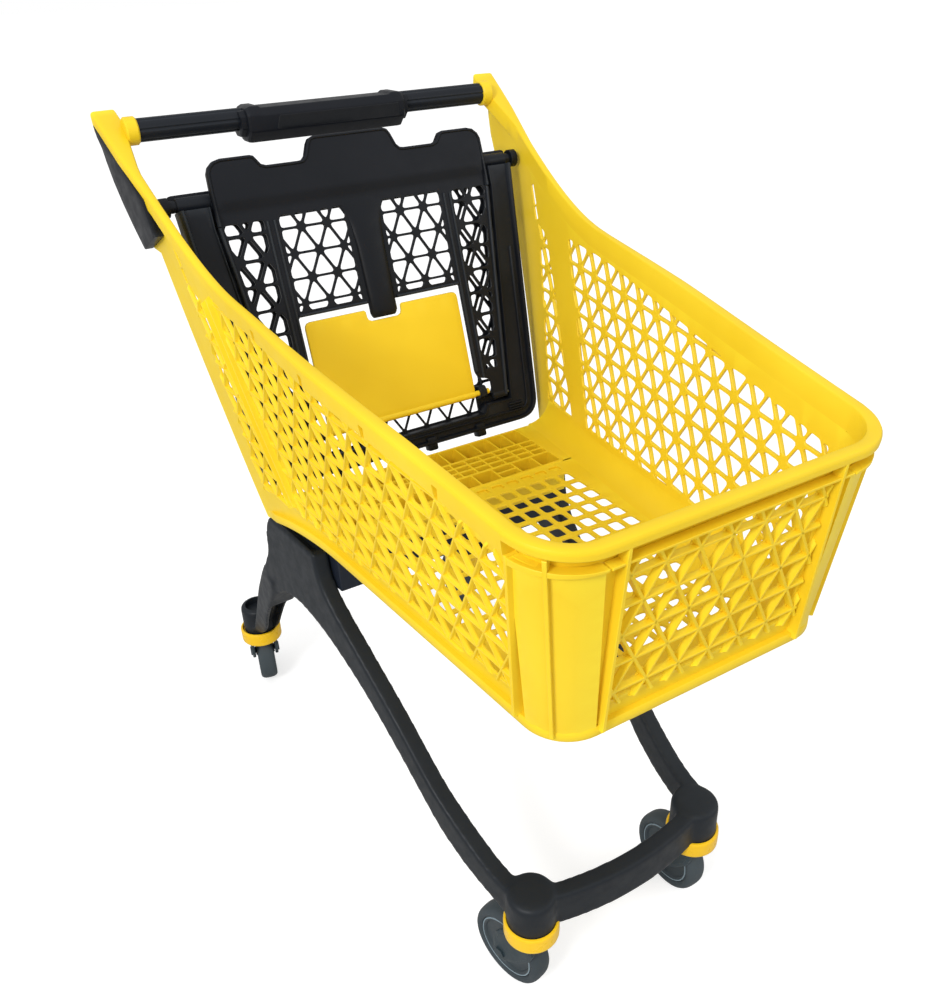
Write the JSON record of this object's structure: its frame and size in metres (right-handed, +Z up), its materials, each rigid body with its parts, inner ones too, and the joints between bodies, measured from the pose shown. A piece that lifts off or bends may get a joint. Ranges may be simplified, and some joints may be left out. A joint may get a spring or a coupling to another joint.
{
  "type": "shopping cart",
  "caption": "Plastic supermarket shopping cart: sloping lattice basket with swept-up arms, cross handle, nesting rear gate with folding child seat, moulded frame on swivel casters.",
  "frame": {"origin": "on the floor under the middle of the cart's overall length and width", "axes": "+X across the cart, -Y towards the cart's front (the handle is on the +Y side), +Z up"},
  "size_m": [0.6158, 1.0006, 1.0107],
  "materials": {
    "yellow_plastic": "semi-gloss moulded",
    "bumper_yellow": "gloss moulded",
    "black_plastic": "satin moulded",
    "frame_plastic": "satin, fine grain",
    "beam_paint": "satin powder coat",
    "caster_plastic": "satin",
    "tyre_rubber": "smooth non-marking",
    "zinc_steel": "zinc plated"
  },
  "bodies": {
    "cart": {"basket": "yellow_plastic", "arm_cover_left": "black_plastic", "arm_cover_right": "black_plastic", "handle_tube": "black_plastic", "handle_socket_left": "yellow_plastic", "handle_socket_right": "yellow_plastic", "handle_module_top": "black_plastic", "handle_module_bottom": "black_plastic", "handle_module_pad": "black_plastic", "hinge_rod": "black_plastic", "hinge_bush_left": "black_plastic", "hinge_bush_right": "black_plastic", "gate_stop_left": "black_plastic", "gate_stop_right": "black_plastic", "chassis_frame": "frame_plastic", "cross_beam": "beam_paint", "frame_bolt_1": "zinc_steel", "frame_bolt_2": "zinc_steel", "frame_bolt_3": "zinc_steel", "frame_bolt_4": "zinc_steel", "front_left_bumper_ring": "bumper_yellow", "front_left_stem": "zinc_steel", "front_right_bumper_ring": "bumper_yellow", "front_right_stem": "zinc_steel", "rear_left_bumper_ring": "bumper_yellow", "rear_left_stem": "zinc_steel", "rear_right_bumper_ring": "bumper_yellow", "rear_right_stem": "zinc_steel"},
    "gate": {"rear_gate": "black_plastic", "seat_pin_left": "zinc_steel", "seat_pin_right": "zinc_steel"},
    "child_seat_back": {"seat_back": "black_plastic"},
    "child_seat_flap": {"seat_flap": "yellow_plastic"},
    "front_left_fork": {"front_left_fork": "caster_plastic", "front_left_axle": "zinc_steel"},
    "front_left_wheel": {"front_left_hub": "caster_plastic", "front_left_tyre": "tyre_rubber"},
    "front_right_fork": {"front_right_fork": "caster_plastic", "front_right_axle": "zinc_steel"},
    "front_right_wheel": {"front_right_hub": "caster_plastic", "front_right_tyre": "tyre_rubber"},
    "rear_left_fork": {"rear_left_fork": "caster_plastic", "rear_left_axle": "zinc_steel"},
    "rear_left_wheel": {"rear_left_hub": "caster_plastic", "rear_left_tyre": "tyre_rubber"},
    "rear_right_fork": {"rear_right_fork": "caster_plastic", "rear_right_axle": "zinc_steel"},
    "rear_right_wheel": {"rear_right_hub": "caster_plastic", "rear_right_tyre": "tyre_rubber"}
  },
  "joints": [
    {"name": "gate_swing", "type": "hinge", "parent": "cart", "child": "gate", "pos_m": [0, 0.2882, 0.9], "axis": [-1, 0, 0], "range_deg": [0, 75]},
    {"name": "seat_back_tilt", "type": "hinge", "parent": "gate", "child": "child_seat_back", "pos_m": [0, 0.17482, 0.57708], "axis": [1, 0, 0], "range_deg": [0, 38]},
    {"name": "seat_flap_fold", "type": "hinge", "parent": "gate", "child": "child_seat_flap", "pos_m": [0, 0.17781, 0.58505], "axis": [1, 0, 0], "range_deg": [0, 97]},
    {"name": "front_left_swivel", "type": "hinge", "parent": "cart", "child": "front_left_fork", "pos_m": [-0.131, -0.3478, 0.12], "axis": [0, 0, 1], "continuous": true},
    {"name": "front_left_spin", "type": "hinge", "parent": "front_left_fork", "child": "front_left_wheel", "pos_m": [-0.13872, -0.31469, 0.0554], "axis": [0.9739, 0.227, 0], "continuous": true},
    {"name": "front_right_swivel", "type": "hinge", "parent": "cart", "child": "front_right_fork", "pos_m": [0.131, -0.3478, 0.12], "axis": [0, 0, 1], "continuous": true},
    {"name": "front_right_spin", "type": "hinge", "parent": "front_right_fork", "child": "front_right_wheel", "pos_m": [0.12998, -0.31382, 0.0554], "axis": [0.9996, 0.03, 0], "continuous": true},
    {"name": "rear_left_swivel", "type": "hinge", "parent": "cart", "child": "rear_left_fork", "pos_m": [-0.212, 0.4112, 0.12], "axis": [0, 0, 1], "continuous": true},
    {"name": "rear_left_spin", "type": "hinge", "parent": "rear_left_fork", "child": "rear_left_wheel", "pos_m": [-0.20418, 0.44429, 0.0554], "axis": [0.9732, -0.2299, 0], "continuous": true},
    {"name": "rear_right_swivel", "type": "hinge", "parent": "cart", "child": "rear_right_fork", "pos_m": [0.212, 0.4112, 0.12], "axis": [0, 0, 1], "continuous": true},
    {"name": "rear_right_spin", "type": "hinge", "parent": "rear_right_fork", "child": "rear_right_wheel", "pos_m": [0.21607, 0.44495, 0.0554], "axis": [0.9928, -0.1197, 0], "continuous": true}
  ]
}
